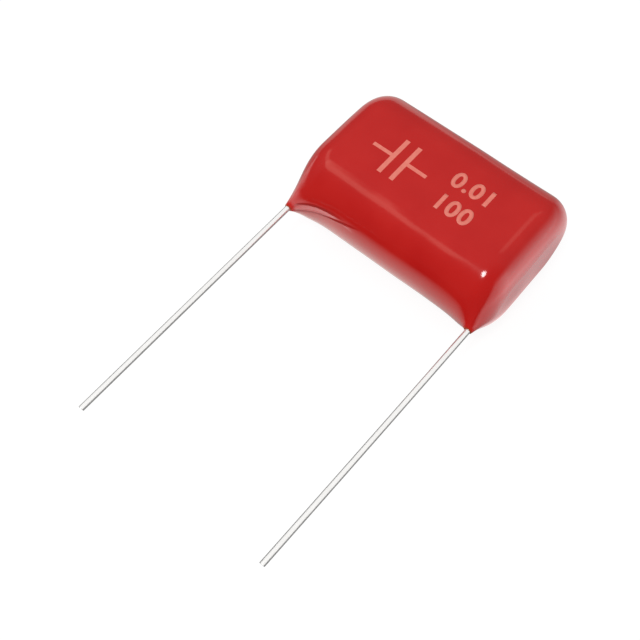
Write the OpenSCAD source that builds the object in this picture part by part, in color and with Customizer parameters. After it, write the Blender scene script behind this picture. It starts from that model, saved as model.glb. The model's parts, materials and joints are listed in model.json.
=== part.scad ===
// Dipped film capacitor with two straight radial leads.
// It lies on its broad back face: X runs from lead to lead, the leads point along -Y and Z is its thickness.
// A pressed oval roll of film carries sprayed metal on both ends. A wire is welded to each of them,
// and the whole element is dipped in epoxy, which runs down the wires as two tapering feet.

/* [Element] */
// Height of the pressed film roll, along the leads
winding_height = 14.3; // [12.5:0.1:18]
// Thickness of the pressed film roll
winding_thickness = 8.3; // [7:0.1:11]
// Thickness of the plain film wrapped over the roll
wrap_thickness = 0.1; // [0.05:0.05:0.3]
// Thickness of the metal sprayed on each end of the roll
spray_thickness = 0.5; // [0.3:0.1:1]

/* [Leads] */
// Distance between the axes of the two leads
lead_pitch = 22.5; // [20:0.5:27.5]
// Diameter of the tinned wire
wire_diameter = 0.6; // [0.5:0.1:0.8]
// Distance from the body's underside down to the cut ends of the leads
lead_length = 30.35; // [16:0.05:36]
// Thickness of the wire's pressed end, where it is welded
tab_thickness = 0.4; // [0.3:0.05:0.5]
// Width of the wire's pressed end
tab_width = 0.7; // [0.6:0.05:0.9]
// How far the pressed end is sunk into the sprayed metal
tab_sink = 0.1; // [0.05:0.05:0.2]
// Distance from the top of the roll down to the end of the tab
tab_drop = 2.4; // [1:0.1:6]
// Length of round wire left inside the coat's foot
neck_length = 0.1; // [0.05:0.05:0.15]

/* [Coat] */
// Thickness of the epoxy over the element's faces, top and bottom
coat_wall = 1; // [0.8:0.1:1.5]
// Epoxy from each lead's axis out to the end face
end_cover = 1.15; // [1:0.05:1.8]
// Rounding of the edges round both end faces
end_rounding = 2.9; // [2:0.1:3.2]
// How far the coat runs down the left lead
left_foot = 1.25; // [0.6:0.05:2]
// How far the coat runs down the right lead
right_foot = 0.85; // [0.6:0.05:2]
// Distance from a lead over which the coat is drawn down to it
foot_reach = 5.6; // [3:0.1:6]
// Width of the coat's flat lip round the wire
foot_lip = 0.1; // [0.05:0.01:0.25]
// How steeply a foot rises to its lead, higher for a sharper foot
foot_sharpness = 3.5; // [2:0.1:4]
// How much more steeply a foot rises to the end face beside it
end_steepness = 2; // [0:0.1:4]

/* [Hidden] */
$fn = 64;

LEFT = -1;
RIGHT = 1;

element_height = winding_height + 2 * wrap_thickness;
element_thickness = winding_thickness + 2 * wrap_thickness;
body_height = element_height + 2 * coat_wall;
body_thickness = element_thickness + 2 * coat_wall;
body_length = lead_pitch + 2 * end_cover;
lead_x = lead_pitch / 2;
element_length = lead_pitch - tab_thickness + 2 * tab_sink;
winding_length = element_length - 2 * spray_thickness;
mid_z = body_thickness / 2;

// The skin is drawn as rings about each lead and as arcs round the edges: the number of steps in each
lip_cuts = 2;
flare_cuts = 9;
end_cuts = 6;
side_cuts = 9;
top_cuts = 14;
flare_spacing = 1.7;
side_spacing = 1.3;

straight = (body_height - body_thickness) / 2;
rounding_start = body_length / 2 - end_rounding;
lip_radius = wire_diameter / 2 + foot_lip;

// ---------- the coat's skin ----------

function foot(x) = x < 0 ? left_foot : right_foot;
function foot_y(x) = -body_height / 2 - foot(x);

// How far the skin has drawn in at x, on the rounding round an end face
function inset(x) =
    let (past = max(0, abs(x) - rounding_start))
    end_rounding - sqrt(max(0, end_rounding ^ 2 - past ^ 2));
function side_radius(x) = mid_z - inset(x);

// Share of the way to the foot's end that the skin is drawn, for a point x along and z from the middle.
// It is 1 all over the lip, falls off away from it, and falls faster on the side of the end face.
function pull(x, z) =
    let (outwards = abs(x) - lead_x, from_axis = norm([outwards, z]),
         steeper = 1 + end_steepness * max(0, outwards) / max(from_axis, 0.001),
         away = max(0, from_axis - lip_radius) * steeper,
         edge = end_rounding - inset(lead_x + lip_radius))
    max(0, 1 - away / foot_reach) ^ foot_sharpness
        * min(1, sqrt((end_rounding - inset(x)) / edge));

// The lower side of the skin
function low_y(x, z) =
    let (plain = -straight - sqrt(max(0, side_radius(x) ^ 2 - z ^ 2)), share = pull(x, z))
    plain + (foot_y(x) - plain) * share;

// Close to a lead, the square grid of points is drawn in to circles about it
function ease(t) = let (s = min(1, max(0, t))) s * s * (3 - 2 * s);
function circled(along, across) =
    let (ring = max(abs(along), abs(across)), corner = norm([along, across]),
         square = ease((ring - lip_radius) / (end_cover - lip_radius)))
    corner == 0 ? [0, 0] : [along, across] * (square + (1 - square) * ring / corner);

// Places along the body: outwards from each lead, and inwards from it
outward = [
    for (i = [1 : lip_cuts]) lip_radius * i / lip_cuts,
    for (i = [1 : end_cuts])
        let (first = asin((lead_x + lip_radius - rounding_start) / end_rounding))
        rounding_start + end_rounding * sin(first + (90 - first) * i / end_cuts) - lead_x
];
inward = [
    for (i = [flare_cuts : -1 : 1]) lip_radius + foot_reach * (i / flare_cuts) ^ flare_spacing,
    for (i = [lip_cuts : -1 : 1]) lip_radius * i / lip_cuts
];
half_stations = [for (d = inward) lead_x - d, lead_x, for (d = outward) lead_x + d];
last = len(half_stations) - 1;
stations = [for (i = [last : -1 : 0]) -half_stations[i], for (x = half_stations) x];

// Distance across, from the middle, of the i-th point on the lower side of the section at x
function across(x, i) =
    let (r = side_radius(x), lip_angle = asin(lip_radius / r), step = (abs(i) - lip_cuts) / side_cuts)
    sign(i) * (abs(i) <= lip_cuts
        ? lip_radius * abs(i) / lip_cuts
        : r * sin(lip_angle + (90 - lip_angle) * step ^ side_spacing));

function low_point(x, i) =
    let (side = sign(x), place = circled(abs(x) - lead_x, across(x, i)),
         px = side * (lead_x + place[0]), pz = place[1])
    [px, low_y(px, pz), mid_z + pz];

function top_point(x, i) =
    let (r = side_radius(x), angle = 90 - 180 * i / top_cuts)
    [x, straight + r * cos(angle), mid_z + r * sin(angle)];

low_last = lip_cuts + side_cuts;
function section(x) = [
    for (i = [-low_last : low_last]) low_point(x, i),
    for (i = [0 : top_cuts]) top_point(x, i)
];
ring_size = 2 * low_last + 1 + top_cuts + 1;

module coat_skin() {
    points = [for (x = stations) each section(x)];
    side_faces = [
        for (i = [0 : len(stations) - 2], j = [0 : ring_size - 1])
            let (a = i * ring_size + j, b = i * ring_size + (j + 1) % ring_size,
                 c = a + ring_size, d = b + ring_size)
            each [[a, b, d], [a, d, c]]
    ];
    far = (len(stations) - 1) * ring_size;
    end_faces = [
        [for (j = [ring_size - 1 : -1 : 0]) j],
        [for (j = [0 : ring_size - 1]) far + j]
    ];
    polyhedron(points, concat(side_faces, end_faces));
}

// ---------- the element ----------

module pressed_oval(height, thickness) {
    flat = height - thickness;
    square([flat, thickness], center = true);
    for (side = [LEFT, RIGHT])
        translate([side * flat / 2, 0]) circle(d = thickness);
}

module along_roll(length) {
    translate([0, 0, mid_z])
        rotate([90, 0, 90])
            linear_extrude(length, center = true) children();
}

module winding() {
    color("gainsboro")
        along_roll(winding_length) pressed_oval(winding_height, winding_thickness);
}

module outer_wrap() {
    color("lightyellow")
        along_roll(winding_length) difference() {
            pressed_oval(element_height, element_thickness);
            pressed_oval(winding_height, winding_thickness);
        }
}

module end_spray(side) {
    color("darkgray")
        difference() {
            translate([side * (winding_length + spray_thickness) / 2, 0, 0])
                along_roll(spray_thickness) pressed_oval(element_height, element_thickness);
            lead_tab(side);
        }
}

// ---------- the leads ----------

module lead_wire(side) {
    top = foot_y(side) + neck_length;
    translate([side * lead_x, top, mid_z])
        rotate([90, 0, 0])
            cylinder(d = wire_diameter, h = top + body_height / 2 + lead_length);
}

module lead_tab(side) {
    bottom = foot_y(side) + neck_length;
    top = winding_height / 2 - tab_drop;
    translate([side * lead_x - tab_thickness / 2, bottom, mid_z - tab_width / 2])
        cube([tab_thickness, top - bottom, tab_width]);
}

module lead(side) {
    color("silver") {
        lead_wire(side);
        lead_tab(side);
    }
}

// ---------- the coat ----------

module coat() {
    color("firebrick")
        difference() {
            coat_skin();
            along_roll(element_length) pressed_oval(element_height, element_thickness);
            for (side = [LEFT, RIGHT]) {
                lead_wire(side);
                lead_tab(side);
            }
        }
}

coat();
winding();
outer_wrap();
end_spray(LEFT);  // end_spray_left
end_spray(RIGHT);  // end_spray_right
lead(LEFT);  // lead_left
lead(RIGHT);  // lead_right
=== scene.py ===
import json
import math

import bmesh
import bpy
from mathutils import Matrix, Vector
from mathutils.bvhtree import BVHTree


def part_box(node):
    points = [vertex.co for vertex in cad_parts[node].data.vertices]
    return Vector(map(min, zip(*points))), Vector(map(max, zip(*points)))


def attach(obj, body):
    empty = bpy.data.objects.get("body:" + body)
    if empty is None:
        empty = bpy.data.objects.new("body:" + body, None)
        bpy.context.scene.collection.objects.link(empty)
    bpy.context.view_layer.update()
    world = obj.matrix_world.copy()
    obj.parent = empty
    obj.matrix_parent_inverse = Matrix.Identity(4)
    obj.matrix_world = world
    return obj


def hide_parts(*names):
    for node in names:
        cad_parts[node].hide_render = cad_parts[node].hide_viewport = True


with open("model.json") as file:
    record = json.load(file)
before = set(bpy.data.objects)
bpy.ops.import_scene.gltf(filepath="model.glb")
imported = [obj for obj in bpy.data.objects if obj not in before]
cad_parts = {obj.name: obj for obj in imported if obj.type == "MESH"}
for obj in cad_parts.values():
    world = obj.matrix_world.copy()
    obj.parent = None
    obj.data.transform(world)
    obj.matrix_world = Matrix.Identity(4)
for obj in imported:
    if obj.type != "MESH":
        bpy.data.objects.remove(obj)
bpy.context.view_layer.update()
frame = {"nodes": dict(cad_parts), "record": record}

mm = 0.001
degrees = 180 / math.pi          # how many make one radian
scene = bpy.context.scene
scene.view_settings.view_transform = "Standard"
mounts = {mount["name"]: mount for mount in frame["record"]["mounts"]}
coatLow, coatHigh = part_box("coat")
middleZ = (coatLow.z + coatHigh.z) / 2     # height of the leads' axes
leadX = mounts["lead_right"]["pos_m"][0]
wireRadius = mounts["lead_right"]["dims"]["r_mm"] * mm


cameraPlan = {
    "azimuth": 39.73,            # degrees round from the leads' side
    "elevation": 62.33,
    "roll": 0.34,
    "distance": 99.68 * mm,
    "aim": (-2.12 * mm, -15.19 * mm, 0),
    "lens": 54.62,               # on a sensor 36 mm wide
    "nearest": 5 * mm,           # it sees what lies between these two distances
    "farthest": 5,
}


def makeCamera():
    azimuth = math.radians(cameraPlan["azimuth"])
    elevation = math.radians(cameraPlan["elevation"])
    roll = math.radians(cameraPlan["roll"])
    level = math.cos(elevation)
    back = Vector((math.sin(azimuth) * level, -math.cos(azimuth) * level, math.sin(elevation)))
    right = Vector((math.cos(azimuth), math.sin(azimuth), 0))
    up = back.cross(right)
    sideways = right * math.cos(roll) + up * math.sin(roll)
    upright = up * math.cos(roll) - right * math.sin(roll)
    turn = Matrix((sideways, upright, back)).transposed().to_4x4()
    data = bpy.data.cameras.new("camera")
    data.lens = cameraPlan["lens"]
    data.clip_start = cameraPlan["nearest"]
    data.clip_end = cameraPlan["farthest"]
    camera = bpy.data.objects.new("camera", data)
    place = Vector(cameraPlan["aim"]) + back * cameraPlan["distance"]
    camera.matrix_world = Matrix.Translation(place) @ turn
    scene.collection.objects.link(camera)
    scene.camera = camera


makeCamera()
print("camera placed")


# a socket that can be added, multiplied and so on, each step being a Math node
class Number:
    def __init__(self, tree, socket):
        self.tree = tree
        self.socket = socket

    def math(self, operation, *others):
        node = self.tree.nodes.new("ShaderNodeMath")
        node.operation = operation
        for entry, value in zip(node.inputs, (self,) + others):
            feed(self.tree, entry, value)
        return Number(self.tree, node.outputs[0])

    def __add__(self, other):
        return self.math("ADD", other)

    def __sub__(self, other):
        return self.math("SUBTRACT", other)

    def __rsub__(self, other):
        return self.math("MULTIPLY", -1) + other

    def __mul__(self, other):
        return self.math("MULTIPLY", other)

    def __truediv__(self, other):
        return self.math("DIVIDE", other)

    def __pow__(self, other):
        return self.math("POWER", other)

    __radd__ = __add__
    __rmul__ = __mul__


def feed(tree, entry, value):    # a link where the value is a socket, and a plain setting otherwise
    if isinstance(value, Number):
        value = value.socket
    if isinstance(value, bpy.types.NodeSocket):
        tree.links.new(value, entry)
    else:
        entry.default_value = value


def addNode(tree, kind, inputs=None, **settings):
    node = tree.nodes.new(kind)
    for name, value in settings.items():
        setattr(node, name, value)
    for name, value in (inputs or {}).items():
        feed(tree, node.inputs[name], value)
    return node


def atLeast(value, floor):
    return value.math("MAXIMUM", floor)


def atMost(value, ceiling):
    return value.math("MINIMUM", ceiling)


def ease(t):                     # an even rise from 0 to 1 gets soft ends
    return t * t * (3 - 2 * t)


def share(value, start, end):    # 0 at start, 1 at end
    return atMost(atLeast((value - start) / (end - start), 0), 1)


def smoothShare(value, start, end):
    return ease(share(value, start, end))


def hump(value, low, high, soft):            # 1 between low and high, fading out over soft on both sides
    return smoothShare(value, low - soft, low) * (1 - smoothShare(value, high, high + soft))


def flatLength(a, b):
    return (a * a + b * b).math("SQRT")


def axes(tree, vector):
    node = addNode(tree, "ShaderNodeSeparateXYZ", {0: vector})
    return [Number(tree, output) for output in node.outputs]


def join(tree, x, y, z):
    return addNode(tree, "ShaderNodeCombineXYZ", {0: x, 1: y, 2: z}).outputs[0]


def openTree(kind, name, inputs, outputs):
    tree = bpy.data.node_groups.new(name, kind)
    for title, socketKind, default in inputs:
        item = tree.interface.new_socket(title, in_out="INPUT", socket_type=socketKind)
        if default is not None:
            item.default_value = default
    for title, socketKind in outputs:
        tree.interface.new_socket(title, in_out="OUTPUT", socket_type=socketKind)
    entry = tree.nodes.new("NodeGroupInput")
    return tree, {output.name: output for output in entry.outputs if output.name}


def closeTree(tree, **results):
    node = tree.nodes.new("NodeGroupOutput")
    for title, value in results.items():
        feed(tree, node.inputs[title], value)


def bakeModifiers(piece):
    bpy.context.view_layer.update()
    graph = bpy.context.evaluated_depsgraph_get()
    mesh = bpy.data.meshes.new_from_object(piece.evaluated_get(graph))
    piece.modifiers.clear()
    piece.data = mesh
    mesh.name = piece.name


def runTree(tree, name, values):             # a plain mesh object from a geometry tree
    piece = bpy.data.objects.new(name, bpy.data.meshes.new(name))
    scene.collection.objects.link(piece)
    modifier = piece.modifiers.new(name, "NODES")
    modifier.node_group = tree
    for item in tree.interface.items_tree:
        if item.in_out == "INPUT" and item.name in values:
            modifier[item.identifier] = values[item.name]
    bakeModifiers(piece)
    return piece


def cutAway(piece, *cutters):
    for cutter in cutters:
        modifier = piece.modifiers.new("cut", "BOOLEAN")
        modifier.operation = "DIFFERENCE"
        modifier.solver = "MANIFOLD"
        modifier.object = cutter
    bakeModifiers(piece)


def meshPiece(name, vertices, faces, material=None):
    mesh = bpy.data.meshes.new(name)
    mesh.from_pydata([tuple(v) for v in vertices], [], faces)
    mesh.validate()
    piece = bpy.data.objects.new(name, mesh)
    scene.collection.objects.link(piece)
    if material:
        mesh.materials.append(material)
    return piece


def fixNormals(piece):
    shape = bmesh.new()
    shape.from_mesh(piece.data)
    bmesh.ops.recalc_face_normals(shape, faces=shape.faces)
    shape.to_mesh(piece.data)
    shape.free()


def loft(name, rings, material=None):        # a closed skin over rings that all have as many points
    count = len(rings[0])
    last = (len(rings) - 1) * count
    faces = []
    for start in range(0, last, count):
        for i in range(count):
            j = (i + 1) % count
            faces.append((start + i, start + j, start + count + j, start + count + i))
    faces.append(tuple(range(count - 1, -1, -1)))
    faces.append(tuple(range(last, last + count)))
    piece = meshPiece(name, [point for ring in rings for point in ring], faces, material)
    fixNormals(piece)
    return piece


def checkClosed(piece):
    shape = bmesh.new()
    shape.from_mesh(piece.data)
    openEdges = sum(1 for edge in shape.edges if not edge.is_manifold)
    volume = shape.calc_volume(signed=True)
    shape.free()
    print(piece.name, "open edges", openEdges, "volume mm3", round(volume / mm ** 3, 1))


def makeUnevenness():            # cloudy patches, which every material uses at its own size
    tree, given = openTree("ShaderNodeTree", "unevenness", [
        ("Size", "NodeSocketFloat", 1.0),           # mm from one patch to the next
        ("Detail", "NodeSocketFloat", 2.0),
        ("Stretch", "NodeSocketVector", (1, 1, 1)),
        ("Contrast", "NodeSocketFloat", 1.0),
    ], [("Mask", "NodeSocketFloat")])
    place = addNode(tree, "ShaderNodeTexCoord").outputs["Object"]
    scaled = addNode(tree, "ShaderNodeVectorMath", {0: place, 1: given["Stretch"]}, operation="MULTIPLY")
    noise = addNode(tree, "ShaderNodeTexNoise", {
        "Vector": scaled.outputs[0],
        "Scale": Number(tree, given["Size"]) ** -1 * (1 / mm),
        "Detail": given["Detail"],
    })
    centred = (Number(tree, noise.outputs["Fac"]) - 0.5) * given["Contrast"] + 0.5
    closeTree(tree, Mask=atMost(atLeast(centred, 0), 1))
    return tree


unevenness = makeUnevenness()


def uneven(tree, size, detail=2.0, stretch=(1, 1, 1), contrast=1.0):
    node = addNode(tree, "ShaderNodeGroup", {
        "Size": size, "Detail": detail, "Stretch": stretch, "Contrast": contrast,
    }, node_tree=unevenness)
    return Number(tree, node.outputs["Mask"])


def attributeShare(tree, name):
    return Number(tree, addNode(tree, "ShaderNodeAttribute", attribute_name=name).outputs["Fac"])


def newMaterial(name, **settings):           # a space in a setting's name is written as _
    material = bpy.data.materials.new(name)
    material.use_nodes = True
    tree = material.node_tree
    shader = tree.nodes["Principled BSDF"]
    for title, value in settings.items():
        shader.inputs[title.replace("_", " ")].default_value = value
    return material, tree, shader


def blendColours(tree, mask, first, second):
    node = addNode(tree, "ShaderNodeMix", {"Factor": mask}, data_type="RGBA")
    for entry, colour in ((node.inputs[6], first), (node.inputs[7], second)):     # its two colour sockets
        feed(tree, entry, colour if isinstance(colour, bpy.types.NodeSocket) else (*colour, 1))
    return node.outputs[2]


def dress(tree, shader, colour, roughness, height, depth):
    relief = addNode(tree, "ShaderNodeBump", {"Height": height, "Distance": depth})
    feed(tree, shader.inputs["Base Color"], colour)
    feed(tree, shader.inputs["Roughness"], roughness)
    feed(tree, shader.inputs["Normal"], relief.outputs[0])


coatPlan = {
    "length": coatHigh.x - coatLow.x,
    "height": 2 * coatHigh.y,    # without its feet
    "thickness": coatHigh.z - coatLow.z,
    "leftFoot": -coatHigh.y - mounts["lead_left"]["pos_m"][1],
    "rightFoot": -coatHigh.y - mounts["lead_right"]["pos_m"][1],
    "endRounding": 2.9 * mm,
    "footReach": 5.6 * mm,       # distance over which the coat is drawn down to a lead
    "footSharpness": 3.5,
    "endSteepness": 2.0,         # how much more steeply a foot rises to the end face
    "lip": 0.1 * mm,             # flat ring of epoxy round the wire
    "stepsAlong": 276,
    "stepsRound": 344,
    "waveDepth": 0.12 * mm,      # slow waves left by dipping
    "waveSize": 5.5 * mm,
    "rippleDepth": 0.004 * mm,
    "rippleSize": 1.9 * mm,
    "foldDepth": 0.09 * mm,      # two folds where the coat ran down beside the left lead
    "foldWidth": 0.22 * mm,
    "weld": 0.0005 * mm,         # points closer together than this become one
    "softening": 10,             # rounds of smoothing over the whole skin
    "sharpFrom": 40,             # degrees between faces from which an edge is sharp
    "seed": 3.0,
    "cloudSize": 4.5,            # mm between patches of deep and bright red
    "deepRed": (0.46, 0.008, 0.007),
    "brightRed": (0.53, 0.014, 0.011),
    "thinRed": (0.30, 0.045, 0.012),         # at the very end of a foot
    "thinning": (0.93, 1.0),     # shares of the way to that end between which it sets in
    # painted shade: the darker red and its strength below are laid along the two fold creases
    "creaseRed": (0.26, 0.02, 0.018),
    "creaseStrength": 0.8,
    "roughness": 0.1,
    "tip": (0.72, 0.92),         # shares of the way between which a foot turns duller
    "tipRoughness": 0.15,        # what its end adds to the roughness
    "tipDullness": 0.4,          # and takes from the strength of its reflections
    "relief": 0.003 * mm,
}


foldPlan = {                     # the two folds, with all lengths in mm from the left lead's axis
    "upperRise": 1.75,           # the upper one climbs towards this height, then almost levels out
    "upperSlope": 0.03,
    "upperReach": 6.5,
    "lowerSlope": 0.25,
    "lowerStart": -0.18,
    "lowerReach": 8.5,
    "fadeIn": (0.3, 0.9),
    "fadeOut": 3,
    "ledge": (-0.5, 0.5),        # from here on in widths of a fold
    "runOut": -0.35,
    # width of the painted shade along each crease
    "crease": (0.2, 0.8),
}


# where point u, v of a grid from -1 to 1 lies, and the share by which a foot draws it down
def skinPoint(size, u, v):
    halfLength = size["Length"] / 2
    middle = size["Thickness"] / 2
    straight = (size["Height"] - size["Thickness"]) / 2
    rounding = size["End Rounding"]
    cover = halfLength - size["Lead X"]
    quarter = math.pi / 2
    tiny = 1e-7                  # stands in for 0 where a length divides

    def inset(x):                # how far the section has drawn in at x, near an end face
        past = atLeast(x.math("ABSOLUTE") - (halfLength - rounding), 0)
        return rounding - atLeast(rounding * rounding - past * past, 0).math("SQRT")

    # along the body, then over each end face, which closes on a line
    bodyShare = 0.94
    capSpacing = 1.6
    along = atMost(u.math("ABSOLUTE") / bodyShare, 1)
    cap = share(u.math("ABSOLUTE"), bodyShare, 1) ** capSpacing
    x = u.math("SIGN") * halfLength * (along * quarter).math("SINE")

    # round the section: from the lead's side, up the flat side, over the top
    lowShare = 0.42
    lowSpacing = 1.4
    flatShare = 0.62
    fromLow = v.math("ABSOLUTE")
    low = atMost(fromLow / lowShare, 1) ** lowSpacing * quarter
    flat = share(fromLow, lowShare, flatShare)
    top = share(fromLow, flatShare, 1) * quarter
    isTop = top.math("GREATER_THAN", 0)
    radius = (middle - inset(x)) * (1 - cap)
    z = v.math("SIGN") * radius * low.math("SINE") * top.math("COSINE")

    # close to a lead, the square grid is drawn in to circles about it
    fromLead = x.math("ABSOLUTE") - size["Lead X"]
    ring = fromLead.math("ABSOLUTE").math("MAXIMUM", z.math("ABSOLUTE"))
    corner = atLeast(flatLength(fromLead, z), tiny)
    square = smoothShare(ring, size["Lip Radius"], cover).math("MAXIMUM", isTop)
    drawIn = square + (1 - square) * ring / corner
    x = x.math("SIGN") * (size["Lead X"] + fromLead * drawIn)
    z = z * drawIn
    radius = (middle - inset(x)) * (1 - cap)

    # the lower side is drawn down to the foot's end
    outwards = x.math("ABSOLUTE") - size["Lead X"]
    fromAxis = atLeast(flatLength(outwards, z), tiny)
    steeper = 1 + size["End Steepness"] * atLeast(outwards, 0) / fromAxis
    away = atLeast(fromAxis - size["Lip Radius"], 0) * steeper
    edge = rounding - inset(size["Lead X"] + size["Lip Radius"])
    pull = atLeast(1 - away / size["Foot Reach"], 0) ** size["Foot Sharpness"]
    pull = pull * atMost(((rounding - inset(x)) / edge).math("SQRT"), 1)
    isLeft = x.math("LESS_THAN", 0)
    foot = size["Left Foot"] * isLeft + size["Right Foot"] * (1 - isLeft)
    plain = -1 * straight - atLeast(radius * radius - z * z, 0).math("SQRT")
    lowY = plain + (-1 * (size["Height"] / 2 + foot) - plain) * pull
    y = lowY * (1 - flat) + straight * flat + radius * top.math("SINE")
    return x, y, z + middle, pull * (1 - isTop)


def skinFolds(tree, size, place):            # how deep the folds are, and where their creases run, which the coat's colour darkens as painted shade
    x, y, z = axes(tree, place)
    isLow = y.math("LESS_THAN", 0)

    # both run from the left lead along the lower side
    along = (x + size["Lead X"]) / mm
    across = (z - size["Thickness"] / 2) / mm
    upperLine = foldPlan["upperRise"] * along / (atLeast(along, 0) + 1) + foldPlan["upperSlope"] * along
    lowerLine = foldPlan["lowerSlope"] * along + foldPlan["lowerStart"]
    folds = 0
    creases = 0
    for line, reach in ((upperLine, foldPlan["upperReach"]), (lowerLine, foldPlan["lowerReach"])):
        below = (line - across) * mm / size["Fold Width"]
        runOut = (atLeast(below, 0) * foldPlan["runOut"]).math("EXPONENT")
        ledge = smoothShare(below, *foldPlan["ledge"]) * runOut
        fadeOut = 1 - smoothShare(along, reach - foldPlan["fadeOut"], reach)
        fade = smoothShare(along, *foldPlan["fadeIn"]) * fadeOut * isLow
        folds = ledge * fade + folds
        # a mask for the painted shade along each crease
        creases = (1 - smoothShare(below.math("ABSOLUTE"), *foldPlan["crease"])) * fade + creases
    return folds * size["Fold Depth"], creases


def skinWaves(tree, size, place, kind):      # from 0 to the waves' depth
    noise = addNode(tree, "ShaderNodeTexNoise", {
        "Vector": place, "W": size["Seed"], "Scale": size[f"{kind} Size"] ** -1, "Detail": 0.0,
    }, noise_dimensions="4D")
    return share(Number(tree, noise.outputs["Fac"]), 0.2, 0.8) * size[f"{kind} Depth"]


def store(tree, geometry, name, value):
    node = addNode(tree, "GeometryNodeStoreNamedAttribute", {
        "Geometry": geometry, "Name": name, "Value": value,
    }, data_type="FLOAT", domain="POINT")
    return node.outputs[0]


def makeSkinTree():
    lengths = ("Length", "Height", "Thickness", "End Rounding", "Lead X", "Lip Radius", "Foot Reach",
               "Foot Sharpness", "End Steepness", "Left Foot", "Right Foot", "Wave Depth", "Wave Size",
               "Ripple Depth", "Ripple Size", "Fold Depth", "Fold Width", "Seed")
    counts = ("Softening", "Steps Along", "Steps Round")
    inputs = [(title, "NodeSocketFloat", None) for title in lengths]
    inputs += [(title, "NodeSocketInt", None) for title in counts]
    inputs.append(("Finish", "NodeSocketMaterial", None))
    tree, given = openTree("GeometryNodeTree", "dippedSkin", inputs, [("Geometry", "NodeSocketGeometry")])
    size = {name: Number(tree, socket) for name, socket in given.items()}
    grid = addNode(tree, "GeometryNodeMeshGrid", {
        "Size X": 2, "Size Y": 2,
        "Vertices X": size["Steps Along"] + 1, "Vertices Y": size["Steps Round"] + 1,
    })
    place = addNode(tree, "GeometryNodeInputPosition").outputs[0]
    u, v, _ = axes(tree, place)
    x, y, z, drawn = skinPoint(size, u, v)

    # the share is stored before the points move, because it is worked out from their places in the grid
    shaped = addNode(tree, "GeometryNodeSetPosition", {
        "Geometry": store(tree, grid.outputs["Mesh"], "drawn", drawn), "Position": join(tree, x, y, z),
    })
    closed = addNode(tree, "GeometryNodeMergeByDistance", {
        "Geometry": shaped.outputs[0], "Distance": coatPlan["weld"],
    })
    drawnShare = addNode(tree, "GeometryNodeInputNamedAttribute", {"Name": "drawn"}, data_type="FLOAT")
    held = Number(tree, drawnShare.outputs[0])      # the feet keep their shape
    blurred = addNode(tree, "GeometryNodeBlurAttribute", {
        "Value": place, "Iterations": size["Softening"], "Weight": 1 - held,
    }, data_type="FLOAT_VECTOR")
    softened = addNode(tree, "GeometryNodeSetPosition", {
        "Geometry": closed.outputs[0], "Position": blurred.outputs["Value"],
    })

    folds, creases = skinFolds(tree, size, place)
    depth = skinWaves(tree, size, place, "Wave") + skinWaves(tree, size, place, "Ripple")
    depth = depth * (1 - held) - folds
    normal = addNode(tree, "GeometryNodeInputNormal").outputs[0]
    inwards = addNode(tree, "ShaderNodeVectorMath", {0: normal, "Scale": depth * -1}, operation="SCALE")
    # the creases' mask is stored for the painted shade in the coat's colour
    waved = addNode(tree, "GeometryNodeSetPosition", {
        "Geometry": store(tree, softened.outputs[0], "crease", creases), "Offset": inwards.outputs[0],
    })
    smooth = addNode(tree, "GeometryNodeSetShadeSmooth", {"Geometry": waved.outputs[0]})
    real = addNode(tree, "GeometryNodeRealizeInstances", {"Geometry": smooth.outputs[0]})
    painted = addNode(tree, "GeometryNodeSetMaterial", {
        "Geometry": real.outputs[0], "Material": given["Finish"],
    })
    closeTree(tree, Geometry=painted.outputs[0])
    return tree


def makeRedEpoxy():
    material, tree, shader = newMaterial("redEpoxy", IOR=1.5)
    cloud = uneven(tree, size=coatPlan["cloudSize"], contrast=1.4)
    speck = uneven(tree, size=0.35, detail=3.0)
    dimple = uneven(tree, size=1.1)
    drawn = attributeShare(tree, "drawn")
    tip = smoothShare(drawn, *coatPlan["tip"])
    # painted shade: the coat is darkened along the fold creases
    strength = coatPlan["creaseStrength"]
    crease = atMost(attributeShare(tree, "crease") * strength, strength)
    body = blendColours(tree, cloud, coatPlan["deepRed"], coatPlan["brightRed"])
    thin = blendColours(tree, smoothShare(drawn, *coatPlan["thinning"]), body, coatPlan["thinRed"])
    colour = blendColours(tree, crease, thin, coatPlan["creaseRed"])
    roughness = coatPlan["roughness"] + speck * 0.02 + cloud * 0.03 + tip * coatPlan["tipRoughness"]
    dress(tree, shader, colour, roughness, height=dimple + speck * 0.15, depth=coatPlan["relief"])
    feed(tree, shader.inputs["Specular IOR Level"], 0.5 - tip * coatPlan["tipDullness"])
    return material


redEpoxy = makeRedEpoxy()
coat = runTree(makeSkinTree(), "epoxyCoat", {
    "Length": coatPlan["length"],
    "Height": coatPlan["height"],
    "Thickness": coatPlan["thickness"],
    "End Rounding": coatPlan["endRounding"],
    "Lead X": leadX,
    "Lip Radius": wireRadius + coatPlan["lip"],
    "Foot Reach": coatPlan["footReach"],
    "Foot Sharpness": coatPlan["footSharpness"],
    "End Steepness": coatPlan["endSteepness"],
    "Left Foot": coatPlan["leftFoot"],
    "Right Foot": coatPlan["rightFoot"],
    "Wave Depth": coatPlan["waveDepth"],
    "Wave Size": coatPlan["waveSize"],
    "Ripple Depth": coatPlan["rippleDepth"],
    "Ripple Size": coatPlan["rippleSize"],
    "Fold Depth": coatPlan["foldDepth"],
    "Fold Width": coatPlan["foldWidth"],
    "Seed": coatPlan["seed"],
    "Softening": coatPlan["softening"],
    "Steps Along": coatPlan["stepsAlong"],
    "Steps Round": coatPlan["stepsRound"],
    "Finish": redEpoxy,
})
checkClosed(coat)
print("coat drawn:", len(coat.data.polygons), "faces")


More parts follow.
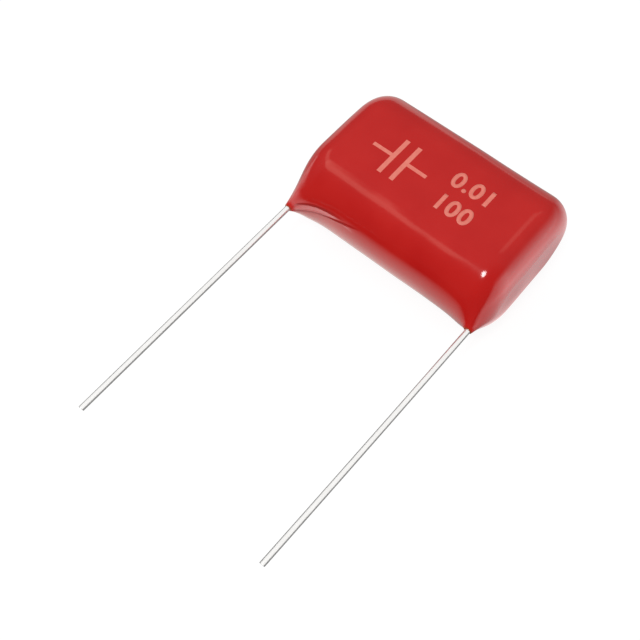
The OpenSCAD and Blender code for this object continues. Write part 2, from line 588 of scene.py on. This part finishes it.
leadPlan = {
    "tabHeight": 0.35 * mm,      # half sizes of the pressed end
    "tabDepth": 0.2 * mm,
    "tabSquareness": 8,          # 2 is round
    "pressing": 0.5 * mm,        # length over which the round wire turns into the pressed end
    "pressingSteps": 8,
    "neck": 0.1 * mm,            # round wire inside the foot
    "shear": 0.10 * mm,          # how much further one side of the cut end reaches
    "shearReach": 0.5 * mm,      # length over which the slant of the cut dies out
    "chamfer": 0.04 * mm,
    "chamferSteps": 4,
    "bow": {"left": 0.0, "right": -0.24 * mm},   # how far the cut end stands off the straight line
    "bowing": 1.5,               # higher for a bow that comes in later
    "points": 40,                # round the wire
    "steps": 60,                 # along it
    "sharpFrom": 50,             # degrees between faces from which an edge is sharp
    "greyTin": (0.88, 0.87, 0.85),
    "brightTin": (0.95, 0.94, 0.93),
    "roughness": 0.16,
    "relief": 0.004 * mm,
}


def makeTinnedWire():
    material, tree, shader = newMaterial("tinnedWire", Metallic=1.0)
    lines = uneven(tree, size=0.06, detail=3.0, stretch=(1, 0.02, 1))
    patches = uneven(tree, size=1.3, detail=3.0)
    colour = blendColours(tree, patches, leadPlan["greyTin"], leadPlan["brightTin"])
    roughness = leadPlan["roughness"] + lines * 0.12 + patches * 0.06
    dress(tree, shader, colour, roughness, height=lines, depth=leadPlan["relief"])
    return material


def ovalPoint(angle, halfX, halfZ, squareness):
    cosine = math.cos(angle)
    sine = math.sin(angle)
    power = 2 / squareness
    acrossX = math.copysign(abs(cosine) ** power, cosine)
    acrossZ = math.copysign(abs(sine) ** power, sine)
    return acrossX * halfX, acrossZ * halfZ


def makeLead(side, finish):
    name = f"lead_{side}"
    low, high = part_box(name)
    x, footY, z = mounts[name]["pos_m"]
    neckY = footY + leadPlan["neck"]
    rings = []

    def addRing(y, halfX, halfZ, squareness=2.0, slant=0.0):
        ring = []
        bow = leadPlan["bow"][side] * (max(0, footY - y) / (footY - low.y)) ** leadPlan["bowing"]
        for i in range(leadPlan["points"]):
            dx, dz = ovalPoint(2 * math.pi * i / leadPlan["points"], halfX, halfZ, squareness)
            ring.append(Vector((x + bow + dx, y + slant * (1 - dz / wireRadius) / 2, z + dz)))
        rings.append(ring)

    for k in range(leadPlan["chamferSteps"] + 1):           # rounded rim of the cut
        turn = math.pi / 2 * k / leadPlan["chamferSteps"]
        inner = wireRadius - leadPlan["chamfer"] * (1 - math.sin(turn))
        addRing(low.y + leadPlan["chamfer"] * (1 - math.cos(turn)), inner, inner, slant=leadPlan["shear"])
    start = low.y + leadPlan["shearReach"]
    for k in range(leadPlan["steps"] + 1):
        addRing(start + (neckY - start) * k / leadPlan["steps"], wireRadius, wireRadius)
    for k in range(1, leadPlan["pressingSteps"] + 1):
        part = k / leadPlan["pressingSteps"]
        pressed = ease(part)
        halfX = wireRadius + (leadPlan["tabDepth"] - wireRadius) * pressed
        halfZ = wireRadius + (leadPlan["tabHeight"] - wireRadius) * pressed
        squareness = 2 + (leadPlan["tabSquareness"] - 2) * pressed
        addRing(neckY + leadPlan["pressing"] * part, halfX, halfZ, squareness)
    addRing(high.y, leadPlan["tabDepth"], leadPlan["tabHeight"], leadPlan["tabSquareness"])
    piece = loft(f"{side}Lead", rings, finish)
    piece.data.shade_smooth()
    piece.data.set_sharp_from_angle(angle=math.radians(leadPlan["sharpFrom"]))
    return piece


tinnedWire = makeTinnedWire()
leads = {side: makeLead(side, tinnedWire) for side in ("left", "right")}
for lead in leads.values():
    checkClosed(lead)
print("leads drawn")


def makeElementRoom():           # the pressed oval that the coat closes round
    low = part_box("end_spray_left")[0]
    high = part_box("end_spray_right")[1]
    radius = (high.z - low.z) / 2
    arcSteps = 32
    outline = []
    for side in (1, -1):
        for i in range(arcSteps + 1):
            angle = math.pi * i / arcSteps
            outline.append((side * (high.y - radius) + side * radius * math.sin(angle),
                            middleZ + side * radius * math.cos(angle)))
    return loft("elementRoom", [[(x, y, z) for y, z in outline] for x in (low.x, high.x)])


def hollowCoat():
    room = makeElementRoom()
    checkClosed(room)
    cutAway(coat, room, *leads.values())
    bpy.data.objects.remove(room)
    mesh = coat.data
    mesh.materials.clear()
    mesh.materials.append(redEpoxy)
    mesh.polygons.foreach_set("material_index", [0] * len(mesh.polygons))
    mesh.set_sharp_from_angle(angle=math.radians(coatPlan["sharpFrom"]))
    checkClosed(coat)


hollowCoat()
for piece, node, finish in (
        (coat, "coat", "red_epoxy"),
        (leads["left"], "lead_left", "tinned_wire"),
        (leads["right"], "lead_right", "tinned_wire")):
    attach(piece, "root")
    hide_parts(node)
print("coat hollowed:", len(coat.data.polygons), "faces")


innerPlan = {                    # the darkest and the lightest colour of each material inside the coat
    "sprayedMetal": ((0.30, 0.30, 0.31), (0.52, 0.52, 0.53)),
    "metallisedFilm": ((0.55, 0.56, 0.58), (0.68, 0.69, 0.71)),
    "plainFilm": ((0.78, 0.76, 0.66), (0.85, 0.84, 0.78)),
}


def makeSprayedMetal():
    material, tree, shader = newMaterial("sprayedMetal", Metallic=0.8)
    grains = uneven(tree, size=0.12, detail=5.0, contrast=2.0)
    patches = uneven(tree, size=1.5)
    colour = blendColours(tree, grains, *innerPlan["sprayedMetal"])
    dress(tree, shader, colour, roughness=0.55 + patches * 0.25, height=grains, depth=0.03 * mm)
    return material


def makeMetallisedFilm():
    material, tree, shader = newMaterial("metallisedFilm", Metallic=0.9)
    turns = uneven(tree, size=0.4, detail=3.0, stretch=(0.05, 1, 1))
    colour = blendColours(tree, turns, *innerPlan["metallisedFilm"])
    dress(tree, shader, colour, roughness=0.2 + turns * 0.15, height=turns, depth=0.01 * mm)
    return material


def makePlainFilm():
    material, tree, shader = newMaterial("plainFilm", Transmission_Weight=0.6, IOR=1.5)
    creases = uneven(tree, size=2.5, detail=3.0, contrast=1.5)
    colour = blendColours(tree, creases, *innerPlan["plainFilm"])
    dress(tree, shader, colour, roughness=0.12 + creases * 0.15, height=creases, depth=0.02 * mm)
    return material


sprayedMetal = makeSprayedMetal()
innerFinishes = {
    "winding": makeMetallisedFilm(),
    "outer_wrap": makePlainFilm(),
    "end_spray_left": sprayedMetal,
    "end_spray_right": sprayedMetal,
}
for node, finish in innerFinishes.items():
    slots = frame["nodes"][node].data.materials
    slots.clear()
    slots.append(finish)
print("inner parts finished")


printPlan = {
    "ink": 0.010 * mm,           # height of the ink over the coat
    "sunk": 0.01 * mm,           # and its depth below
    "letterHeight": 2.05 * mm,
    "lines": [                   # words, their middle in x, their baseline in y
        ("0.01", 3.45 * mm, 0.2 * mm),
        ("100", 3.65 * mm, -2.95 * mm),
    ],
    "boldness": 0.032,
    "letterSpacing": 1.08,
    "letterSteps": 8,
    "symbol": {                  # plates and wires of a capacitor's sign
        "x": -4.1 * mm,
        "y": -0.6 * mm,
        "plateHeight": 4.9 * mm,
        "plateWidth": 0.5 * mm,
        "gap": 1.0 * mm,
        "wireLength": 2.3 * mm,
        "wireWidth": 0.42 * mm,
        "overlap": 0.02 * mm,
    },
    "longestEdge": 0.4 * mm,     # longer ones are halved, so that the ink follows the coat
    "halvings": 4,               # at most
    "colours": ((0.73, 0.165, 0.125), (0.80, 0.225, 0.17)),      # darkest and lightest
}


def makeInk():
    material, tree, shader = newMaterial("paleInk", IOR=1.5)
    patches = uneven(tree, size=0.5, detail=4.0, contrast=1.6)
    colour = blendColours(tree, patches, *printPlan["colours"])
    dress(tree, shader, colour, roughness=0.3 + patches * 0.15, height=patches, depth=0.003 * mm)
    return material


def drawWords(words, middleX, baseline):
    curve = bpy.data.curves.new(words, "FONT")
    curve.body = words
    curve.size = 1
    curve.offset = printPlan["boldness"]
    curve.resolution_u = printPlan["letterSteps"]
    curve.space_character = printPlan["letterSpacing"]
    carrier = bpy.data.objects.new(words, curve)
    scene.collection.objects.link(carrier)
    bpy.context.view_layer.update()
    graph = bpy.context.evaluated_depsgraph_get()
    mesh = bpy.data.meshes.new_from_object(carrier.evaluated_get(graph))
    bpy.data.objects.remove(carrier)
    drawing = bmesh.new()
    drawing.from_mesh(mesh)
    bmesh.ops.remove_doubles(drawing, verts=drawing.verts, dist=1e-5)
    lowY = min(v.co.y for v in drawing.verts)
    highY = max(v.co.y for v in drawing.verts)
    middle = (min(v.co.x for v in drawing.verts) + max(v.co.x for v in drawing.verts)) / 2
    grow = printPlan["letterHeight"] / (highY - lowY)
    for vertex in drawing.verts:
        vertex.co = Vector(((vertex.co.x - middle) * grow, (vertex.co.y - lowY) * grow, 0))
    bmesh.ops.translate(drawing, verts=drawing.verts, vec=(middleX, baseline, 0))
    return drawing


def addBar(drawing, x, y, width, height):
    corners = [(x + across * width / 2, y + up * height / 2)
               for across, up in ((-1, -1), (1, -1), (1, 1), (-1, 1))]
    drawing.faces.new([drawing.verts.new((cornerX, cornerY, 0)) for cornerX, cornerY in corners])


def drawSymbol():
    sign = printPlan["symbol"]
    drawing = bmesh.new()
    for side in (-1, 1):
        plateX = sign["x"] + side * (sign["gap"] + sign["plateWidth"]) / 2
        wireX = plateX + side * (sign["plateWidth"] + sign["wireLength"]) / 2 - side * sign["overlap"]
        addBar(drawing, plateX, sign["y"], sign["plateWidth"], sign["plateHeight"])
        addBar(drawing, wireX, sign["y"], sign["wireLength"], sign["wireWidth"])
    return drawing


def inkOnCoat(name, drawing, coatTree, material):    # the drawing becomes a thin solid on the coat
    bmesh.ops.triangulate(drawing, faces=drawing.faces)
    for _ in range(printPlan["halvings"]):
        longEdges = [edge for edge in drawing.edges if edge.calc_length() > printPlan["longestEdge"]]
        bmesh.ops.subdivide_edges(drawing, edges=longEdges, cuts=1)
        bmesh.ops.triangulate(drawing, faces=drawing.faces)
    bmesh.ops.recalc_face_normals(drawing, faces=drawing.faces)
    extruded = bmesh.ops.extrude_face_region(drawing, geom=list(drawing.faces))
    upper = {item for item in extruded["geom"] if isinstance(item, bmesh.types.BMVert)}
    for vertex in drawing.verts:
        above = Vector((vertex.co.x, vertex.co.y, coatHigh.z + 1 * mm))
        hit = coatTree.ray_cast(above, Vector((0, 0, -1)))[0]
        vertex.co.z = hit.z + (printPlan["ink"] if vertex in upper else -printPlan["sunk"])
    bmesh.ops.recalc_face_normals(drawing, faces=drawing.faces)
    mesh = bpy.data.meshes.new(name)
    drawing.to_mesh(mesh)
    drawing.free()
    mesh.materials.append(material)
    piece = bpy.data.objects.new(name, mesh)
    scene.collection.objects.link(piece)
    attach(piece, "root")
    checkClosed(piece)
    return piece


ink = makeInk()
coatTree = BVHTree.FromObject(coat, bpy.context.evaluated_depsgraph_get())
prints = []
for words, middleX, baseline in printPlan["lines"]:
    name = "figures" + words.replace(".", "_")
    prints.append(inkOnCoat(name, drawWords(words, middleX, baseline), coatTree, ink))
prints.append(inkOnCoat("capacitorSign", drawSymbol(), coatTree, ink))
print("print laid on")


stagePlan = {
    "ambient": 0.72,             # even light on every side
    "floorBounce": 0.50,
    "shadowShare": 0.14,         # how much of the floor's white comes from light that can be shaded
    "floorHalf": 2.5,            # half the floor's width
    "domeRadius": 1.0,
    "coatFloorHeight": 0.02 * mm,
    "wireFloorHeight": 0.01 * mm,
    "wireFloor": 0.28,           # brightness of the floor that the wires mirror
}


def lightPath(tree, *kinds):
    node = addNode(tree, "ShaderNodeLightPath")
    total = None
    for kind in kinds:
        ray = Number(tree, node.outputs[f"Is {kind} Ray"])
        total = ray if total is None else total.math("MAXIMUM", ray)
    return total


def makeWorld():
    world = bpy.data.worlds.new("studio")
    world.use_nodes = True
    scene.world = world
    tree = world.node_tree
    shader = tree.nodes["Background"]
    seen = lightPath(tree, "Camera", "Transmission")
    even = (1 - lightPath(tree, "Glossy")) * stagePlan["ambient"]
    shader.inputs["Color"].default_value = (1, 1, 1, 1)
    feed(tree, shader.inputs["Strength"], seen.math("MAXIMUM", even))


def emptyMaterial(piece):
    material = bpy.data.materials.new(piece.name)
    material.use_nodes = True
    tree = material.node_tree
    tree.nodes.clear()
    piece.data.materials.append(material)
    return material, tree, addNode(tree, "ShaderNodeOutputMaterial").inputs["Surface"]


def levelSheet(name, half, height):
    corners = [(-half, -half, height), (half, -half, height), (half, half, height), (-half, half, height)]
    return meshPiece(name, corners, [(0, 1, 2, 3)])


def makeFloor():                 # white to the eye, though it still takes the part's shadow
    floor = levelSheet("floor", stagePlan["floorHalf"], 0)
    _, tree, surface = emptyMaterial(floor)
    grey = stagePlan["shadowShare"]
    seen = addNode(tree, "ShaderNodeEmission", {"Strength": 1 - grey * stagePlan["ambient"]})
    catcher = addNode(tree, "ShaderNodeBsdfDiffuse", {"Color": (grey, grey, grey, 1)})
    bounce = (1 - lightPath(tree, "Glossy")) * stagePlan["floorBounce"]
    plain = addNode(tree, "ShaderNodeBsdfDiffuse", {"Color": join(tree, bounce, bounce, bounce)})
    shown = addNode(tree, "ShaderNodeAddShader", {0: seen.outputs[0], 1: catcher.outputs[0]})
    whole = addNode(tree, "ShaderNodeMixShader", {
        0: lightPath(tree, "Camera", "Transmission"), 1: plain.outputs[0], 2: shown.outputs[0],
    })
    feed(tree, surface, whole.outputs[0])


def limitTo(lamp, pieces):       # it lights these pieces alone
    chosen = bpy.data.collections.new(lamp.name + "Lights")
    for piece in pieces:
        chosen.objects.link(piece)
    lamp.light_linking.receiver_collection = chosen


def makeGlow(piece, colourOf, lights):       # a surface that only shows in the reflections of some pieces
    material, tree, surface = emptyMaterial(piece)
    material.cycles.emission_sampling = "NONE"
    place = addNode(tree, "ShaderNodeTexCoord").outputs["Object"]
    glow = addNode(tree, "ShaderNodeEmission", {"Color": colourOf(tree, place)})
    clear = addNode(tree, "ShaderNodeBsdfTransparent")
    both = addNode(tree, "ShaderNodeAddShader", {0: clear.outputs[0], 1: glow.outputs[0]})
    feed(tree, surface, both.outputs[0])
    piece.visible_camera = False
    piece.visible_diffuse = False
    piece.visible_transmission = False
    piece.visible_shadow = False
    limitTo(piece, lights)


def nearLine(x, y, start, end, core, soft):  # 1 within core of the line from start to end
    across = end[0] - start[0]
    up = end[1] - start[1]
    along = ((x - start[0]) * across + (y - start[1]) * up) / (across ** 2 + up ** 2)
    along = atMost(atLeast(along, 0), 1)
    distance = flatLength(x - start[0] - along * across, y - start[1] - along * up)
    return 1 - smoothShare(distance, core, core + soft)


wallPlan = {                     # the bright wall beyond the right end, in degrees from the leads' side
    "level": 3.64,
    "rise": (62, 83),
    "nearShare": 0.45,           # its brightness where it begins
    "growth": (83, 102),
    "fall": (85, 182),
}


def wallProfile(azimuth, fall):
    near = wallPlan["nearShare"]
    level = near + (1 - near) * share(azimuth, *wallPlan["growth"])
    rise = smoothShare(azimuth, *wallPlan["rise"]) * level
    return rise * (1 - smoothShare(fall, *wallPlan["fall"])) * wallPlan["level"]


# what the coat mirrors: most places are in degrees, from the leads' side and up from the floor
domePlan = {
    "overhead": 0.29,
    "overheadLeast": 0.04,
    "awayFromCamera": (-0.643, 0.766),       # x and y
    "awayRange": (-0.75, 0.25),  # in parts of the dome's radius, as the heights are
    "lowShare": 0.6,             # brightness of the overhead light near the floor
    "heights": (0.2, 0.8),
    "wallLean": 1.07,
    "wallTop": (45, 25),
    "leftGlow": 1.8,
    "leftGlowSides": (-92, -46, 6),          # from, to, and its soft edge
    "leftGlowTop": (3, 11),
    "band": 1.0,
    "bandSides": (-64, -26, 4),
    "bandLower": (51.5, 53.5),
    "bandUpper": 61.5,
    "bandSoft": (-0.5, 1.5),
    "leftWidening": 4,           # how much the band's upper edge rises at its left end
    "leftEnd": (-45, -60),
    "rightWidening": 2.5,
    "rightEnd": (-33, -27),
    "leftGain": 0.35,            # how much brighter the band gets to the left
    "leftGainRange": (-38, -60),
    "tail": 0.75,
    "tailLine": ((-66, 57), (-101, 40), 3, 5),       # start, end, half width and soft edge
    "thinLine": 0.55,
    "thinLines": (((167, 46), (171, 57), 1.5, 3), ((171, 57), (186, 59), 2, 4)),
    "warmth": (1.7, 1.05, 0.85),     # tint of the band, its tail and the thin line
}


def overheadLevel(x, y, z):
    away = y * domePlan["awayFromCamera"][1] + x * domePlan["awayFromCamera"][0]
    level = domePlan["overheadLeast"] + domePlan["overhead"] * smoothShare(away, *domePlan["awayRange"])
    low = domePlan["lowShare"]
    return level * (low + (1 - low) * smoothShare(z, *domePlan["heights"]))


def bandLevel(azimuth, elevation):
    upperEdge = domePlan["bandUpper"] + domePlan["leftWidening"] * share(azimuth, *domePlan["leftEnd"])
    upperEdge = upperEdge + domePlan["rightWidening"] * share(azimuth, *domePlan["rightEnd"])
    lower = smoothShare(elevation, *domePlan["bandLower"])
    band = lower * (1 - smoothShare(elevation - upperEdge, *domePlan["bandSoft"]))
    gain = 1 + domePlan["leftGain"] * share(azimuth, *domePlan["leftGainRange"])
    return band * hump(azimuth, *domePlan["bandSides"]) * gain


def domeColour(tree, place):
    way = addNode(tree, "ShaderNodeVectorMath", {0: place}, operation="NORMALIZE")
    x, y, z = axes(tree, way.outputs[0])
    azimuth = x.math("ARCTAN2", y * -1) * degrees
    elevation = z.math("ARCSINE") * degrees
    wall = wallProfile(azimuth, azimuth + domePlan["wallLean"] * elevation)
    wall = wall * share(elevation, *domePlan["wallTop"])
    leftGlow = hump(azimuth, *domePlan["leftGlowSides"])
    leftGlow = leftGlow * (1 - smoothShare(elevation, *domePlan["leftGlowTop"]))
    tail = nearLine(azimuth, elevation, *domePlan["tailLine"])
    fullTurn = azimuth + 360 * azimuth.math("LESS_THAN", 0)
    first, second = (nearLine(fullTurn, elevation, *line) for line in domePlan["thinLines"])
    thinLine = first.math("MAXIMUM", second)
    plain = overheadLevel(x, y, z) + leftGlow * domePlan["leftGlow"] + wall
    warm = (bandLevel(azimuth, elevation) * domePlan["band"]).math("MAXIMUM", tail * domePlan["tail"])
    warm = warm + thinLine * domePlan["thinLine"]
    return join(tree, *(plain + warm * tint for tint in domePlan["warmth"]))


floorPlan = {                    # the floor as the coat mirrors it, with all places in mm
    "front": 1.54,               # before the leads' side
    "frontRise": (-31, -10.5),
    "leftCorner": (-22, -32),    # past here the front is bright further out too
    "leftShift": 40,
    "dip": 0.92,                 # share of the front's light that is lost under the part
    "dipLess": 0.19,             # and how much less of it on the left
    "dipLeft": (-13, -19),
    "dipRise": (-10.6, -2.4),
    "shade": 0.59,               # taken off the front towards the right
    "shadeSide": (0, 10),
    "shadeRise": (-30, -18),
    "shadeFall": (-10, 0),
    "back": 0.3,
    "backRise": (6, 16),
    "wallCentre": (2, -6),       # the wall's light spreads out from here
    "wallTurn": 2,
    "wallNear": 0.24,
    "wallReach": (13, 29.5),
    "rightBack": 0.35,
    "rightBackRise": (7, 13),
    "rightBackFall": (14, 28),
    "nearEnd": 0.3,              # a patch close to the right end
    "nearEndSides": (-4, 1, 5),
    "nearEndFall": (12.7, 13.5),
    "rightStart": (7, 12),       # where the front's light gives way to the wall's
    "paleness": (1.08, 1.0, 0.96),   # tint of the front
    "rosiness": (1.3, 1.0, 1.0),     # tint beyond the right end
}


def frontLevel(x, y):
    shift = floorPlan["leftShift"] * share(x, *floorPlan["leftCorner"])
    dip = floorPlan["dip"] - floorPlan["dipLess"] * share(x, *floorPlan["dipLeft"])
    level = floorPlan["front"] * smoothShare(y + shift, *floorPlan["frontRise"])
    level = level * (1 - dip * smoothShare(y, *floorPlan["dipRise"]))
    shade = floorPlan["shade"] * smoothShare(x, *floorPlan["shadeSide"])
    shade = shade * smoothShare(y, *floorPlan["shadeRise"]) * (1 - smoothShare(y, *floorPlan["shadeFall"]))
    return atLeast(level - shade, 0) + floorPlan["back"] * smoothShare(y, *floorPlan["backRise"])


def rightLevel(x, y):
    acrossX = x - floorPlan["wallCentre"][0]
    acrossY = y - floorPlan["wallCentre"][1]
    azimuth = acrossX.math("ARCTAN2", -1 * acrossY) * degrees
    near = floorPlan["wallNear"]
    level = wallProfile(azimuth - floorPlan["wallTurn"], azimuth)
    level = level * (near + (1 - near) * share(flatLength(acrossX, acrossY), *floorPlan["wallReach"]))
    back = floorPlan["rightBack"] * smoothShare(y, *floorPlan["rightBackRise"])
    level = level + back * (1 - share(x, *floorPlan["rightBackFall"]))
    nearEnd = floorPlan["nearEnd"] * hump(y, *floorPlan["nearEndSides"])
    return level + nearEnd * (1 - smoothShare(x, *floorPlan["nearEndFall"]))


def floorColour(tree, place):
    x, y, _ = axes(tree, place)
    x = x / mm
    y = y / mm
    side = smoothShare(x, *floorPlan["rightStart"])
    front = frontLevel(x, y) * (1 - side)
    right = rightLevel(x, y) * side
    tints = zip(floorPlan["paleness"], floorPlan["rosiness"])
    return join(tree, *(front * pale + right * rosy for pale, rosy in tints))


footPlan = {                     # a card beside the left foot, with all places in mm
    "level": 2.0,
    "corners": ((-15, 3.5), (-5, 8)),        # x and z
    "y": -10.5,
    "slant": 2.2,                # its right edge leans by this much
    "slantHeight": 5.7,
    "rightEdge": (-9.3, -7.7),
    "leftEdge": (-14.5, -13.5),
    "lowerEdge": (3.8, 4.2),
    "upperEdge": (7.3, 7.9),
}


def footColour(tree, place):                 # what the wet looking skin just over the left foot mirrors
    x, _, z = axes(tree, place)
    x = x / mm
    z = z / mm
    leaning = x + footPlan["slant"] * (z - footPlan["slantHeight"])
    level = 1 - smoothShare(leaning, *footPlan["rightEdge"])
    level = level * smoothShare(x, *footPlan["leftEdge"]) * smoothShare(z, *footPlan["lowerEdge"])
    level = level * (1 - smoothShare(z, *footPlan["upperEdge"])) * footPlan["level"]
    return join(tree, level, level, level)


def wireFloorColour(tree, place):            # the same all over, so it uses neither of them
    level = stagePlan["wireFloor"]
    return level, level, level, 1


def domeMesh(name):
    piece = meshPiece(name, [], [])
    shape = bmesh.new()
    bmesh.ops.create_icosphere(shape, subdivisions=5, radius=stagePlan["domeRadius"])
    shape.to_mesh(piece.data)
    shape.free()
    return piece


def footMesh(name):
    (left, low), (right, high) = footPlan["corners"]
    corners = [(left, low), (right, low), (right, high), (left, high)]
    return meshPiece(name, [(x * mm, footPlan["y"] * mm, z * mm) for x, z in corners], [(0, 1, 2, 3)])


def makeLamp(name, direction, distance, size, radiance, glossy=True, lights=None):
    data = bpy.data.lights.new(name, "AREA")
    data.shape = "DISK"
    data.size = size
    data.energy = radiance * math.pi * math.pi * (size / 2) ** 2     # the disk's area times pi
    lamp = bpy.data.objects.new(name, data)
    way = Vector(direction).normalized()
    turn = way.to_track_quat("Z", "Y").to_matrix().to_4x4()
    lamp.matrix_world = Matrix.Translation(way * distance) @ turn
    lamp.visible_glossy = glossy
    scene.collection.objects.link(lamp)
    if lights:
        limitTo(lamp, lights)


makeWorld()
makeFloor()
wires = list(leads.values())
glossyPieces = [coat] + prints
coatFloor = levelSheet("coatFloorGlow", stagePlan["domeRadius"], stagePlan["coatFloorHeight"])
wireFloor = levelSheet("wireFloorGlow", stagePlan["domeRadius"], stagePlan["wireFloorHeight"])
makeGlow(domeMesh("coatSurroundings"), domeColour, glossyPieces)
makeGlow(coatFloor, floorColour, glossyPieces)
makeGlow(footMesh("leftFootGlow"), footColour, [coat])
makeGlow(wireFloor, wireFloorColour, wires)
makeLamp("dotLamp", direction=(0.03, -0.49, 1.0), distance=0.35, size=0.07, radiance=26)
makeLamp("softTop", direction=(-0.6, -0.2, 0.8), distance=0.5, size=0.5, radiance=0.60, glossy=False)
makeLamp("wireSoftbox", direction=(0.0, 0.1, 1.0), distance=0.3, size=4.0, radiance=1.0, lights=wires)
print("stage set")
